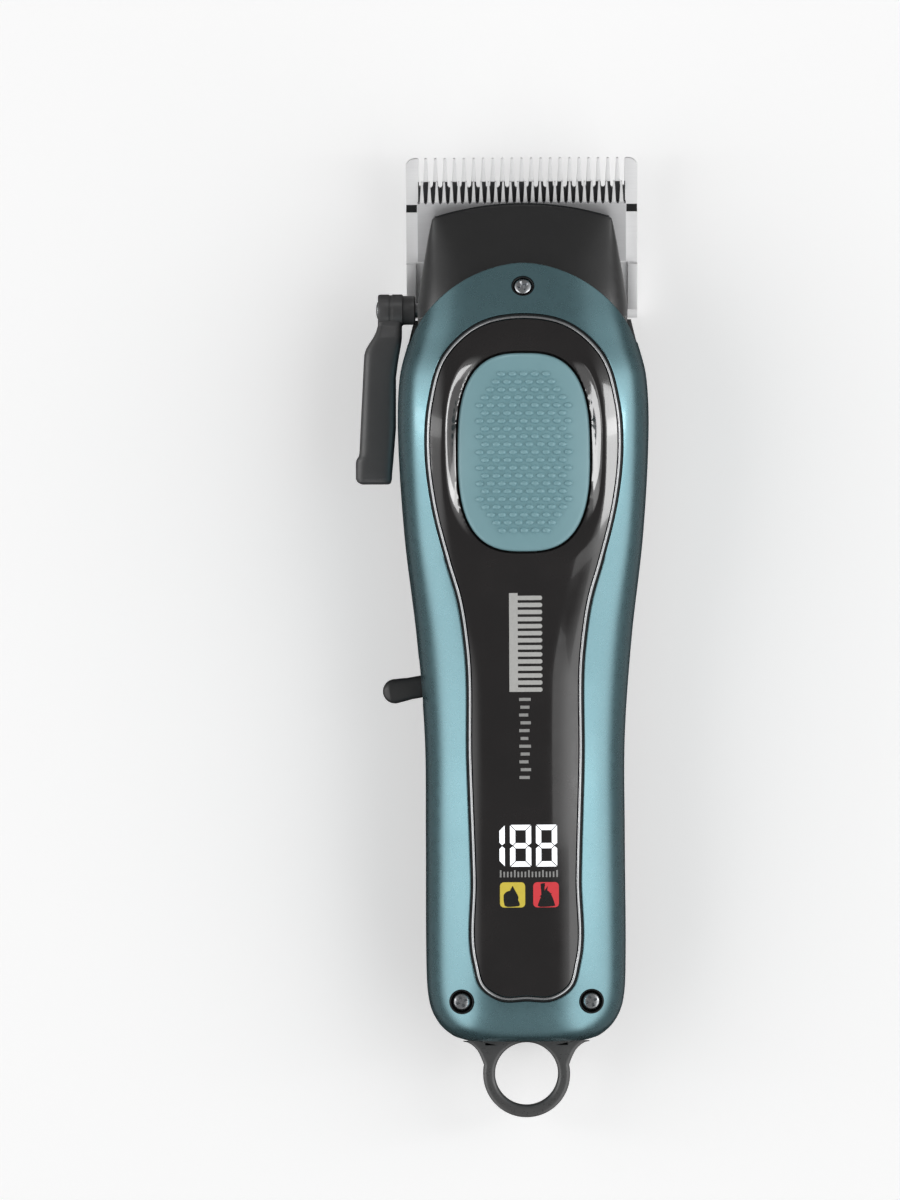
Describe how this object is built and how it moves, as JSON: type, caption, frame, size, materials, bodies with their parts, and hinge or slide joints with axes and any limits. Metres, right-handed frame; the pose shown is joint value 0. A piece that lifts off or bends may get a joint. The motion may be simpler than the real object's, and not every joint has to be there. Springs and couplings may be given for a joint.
{
  "type": "hair clipper",
  "caption": "Cordless hair clipper with a teal front shell, dark panel with oval button and display, taper lever, side power toggle, steel blade set and hanging loop.",
  "frame": {"origin": "on the flat of the rear housing it lies on, half way along the whole length and on the width's centre plane", "axes": "+Y from the hanging loop to the teeth, +Z to the button side, X across, with the taper lever and the power toggle on -X"},
  "size_m": [0.0585, 0.1921, 0.0369],
  "materials": {
    "teal_paint": "metallic teal lacquer",
    "teal_satin": "satin teal, small raised bumps",
    "black_gloss": "polished black",
    "black_satin": "fine satin texture",
    "black_loop": "half-gloss black",
    "dark_metal": "dark chrome rim",
    "blade_steel": "ground steel",
    "spring_steel": "drawn steel",
    "screw_steel": "zinc-plated",
    "zinc": "zinc-plated sheet",
    "white_plastic": "white acetal",
    "board_green": "green solder mask",
    "copper_winding": "enamelled copper",
    "battery_wrap": "blue shrink wrap",
    "wire_red": "red insulation",
    "wire_black": "black insulation"
  },
  "bodies": {
    "root": {"battery_cell": "battery_wrap", "battery_holder": "black_satin", "battery_lead_black": "wire_black", "battery_lead_red": "wire_red", "battery_tab_front": "zinc", "battery_tab_rear": "zinc", "blade_base": "black_satin", "blade_screw_left": "screw_steel", "blade_screw_right": "screw_steel", "bracket_screw_left": "screw_steel", "bracket_screw_right": "screw_steel", "button_board": "board_green", "button_spring_lower": "spring_steel", "button_spring_upper": "spring_steel", "button_switch": "black_satin", "case_screw_left": "screw_steel", "case_screw_right": "screw_steel", "case_screw_top": "screw_steel", "charge_board": "board_green", "charge_port": "zinc", "display_module": "black_gloss", "fixed_blade": "blade_steel", "front_panel": "black_gloss", "front_shell": "teal_paint", "hanging_loop": "black_loop", "head_cover": "black_satin", "main_board": "board_green", "motor_bracket": "black_satin", "motor_can": "zinc", "motor_end_cap": "white_plastic", "motor_lead_black": "wire_black", "motor_lead_red": "wire_red", "panel_trim": "dark_metal", "rear_housing": "black_satin", "slide_switch": "zinc", "toggle_pin": "spring_steel"},
    "button": {"button_pad": "teal_satin", "button_carrier": "black_satin", "button_switch_stem": "white_plastic"},
    "taper_arm": {"taper_lever": "black_satin", "taper_lever_screw": "screw_steel", "taper_shaft": "spring_steel", "taper_crank": "white_plastic"},
    "taper_carriage": {"taper_slide": "white_plastic", "cutter_spring": "spring_steel"},
    "cutter": {"moving_blade": "blade_steel", "cutter_yoke": "white_plastic"},
    "rotor": {"motor_shaft": "spring_steel", "motor_armature": "copper_winding", "eccentric_cam": "white_plastic"},
    "toggle": {"power_toggle": "black_satin"},
    "switch": {"switch_slider": "white_plastic"}
  },
  "joints": [
    {"name": "button_press", "type": "slide", "parent": "root", "child": "button", "axis": [0, 0, -1], "range_m": [0, 0.0008], "stiffness_N_per_m": 600, "springref_m": -0.001, "deforming": ["button_spring_upper", "button_spring_lower"]},
    {"name": "taper_lever_swing", "type": "hinge", "parent": "root", "child": "taper_arm", "pos_m": [-0.025, 0.0655, 0.015], "axis": [-1, 0, 0], "range_deg": [0, 40]},
    {"name": "taper_travel", "type": "slide", "parent": "root", "child": "taper_carriage", "axis": [0, 0.9511, 0.309], "range_m": [0, 0.0024]},
    {"name": "cutter_stroke", "type": "slide", "parent": "taper_carriage", "child": "cutter", "axis": [1, 0, 0], "range_m": [-0.0012, 0.0012]},
    {"name": "rotor_spin", "type": "hinge", "parent": "root", "child": "rotor", "pos_m": [0, 0.03, 0.014], "axis": [0, 1, 0], "continuous": true},
    {"name": "power_toggle_swing", "type": "hinge", "parent": "root", "child": "toggle", "pos_m": [-0.0146, -0.0087, 0.016], "axis": [0, 0, -1], "range_deg": [0, 20]},
    {"name": "switch_travel", "type": "slide", "parent": "root", "child": "switch", "axis": [0, 1, 0], "range_m": [-0.0015, 0]}
  ],
  "couplings": [
    {"joint": "taper_travel", "follows": "taper_lever_swing", "m_per_rad": 0.0034375},
    {"joint": "switch_travel", "follows": "power_toggle_swing", "m_per_rad": -0.0042}
  ]
}
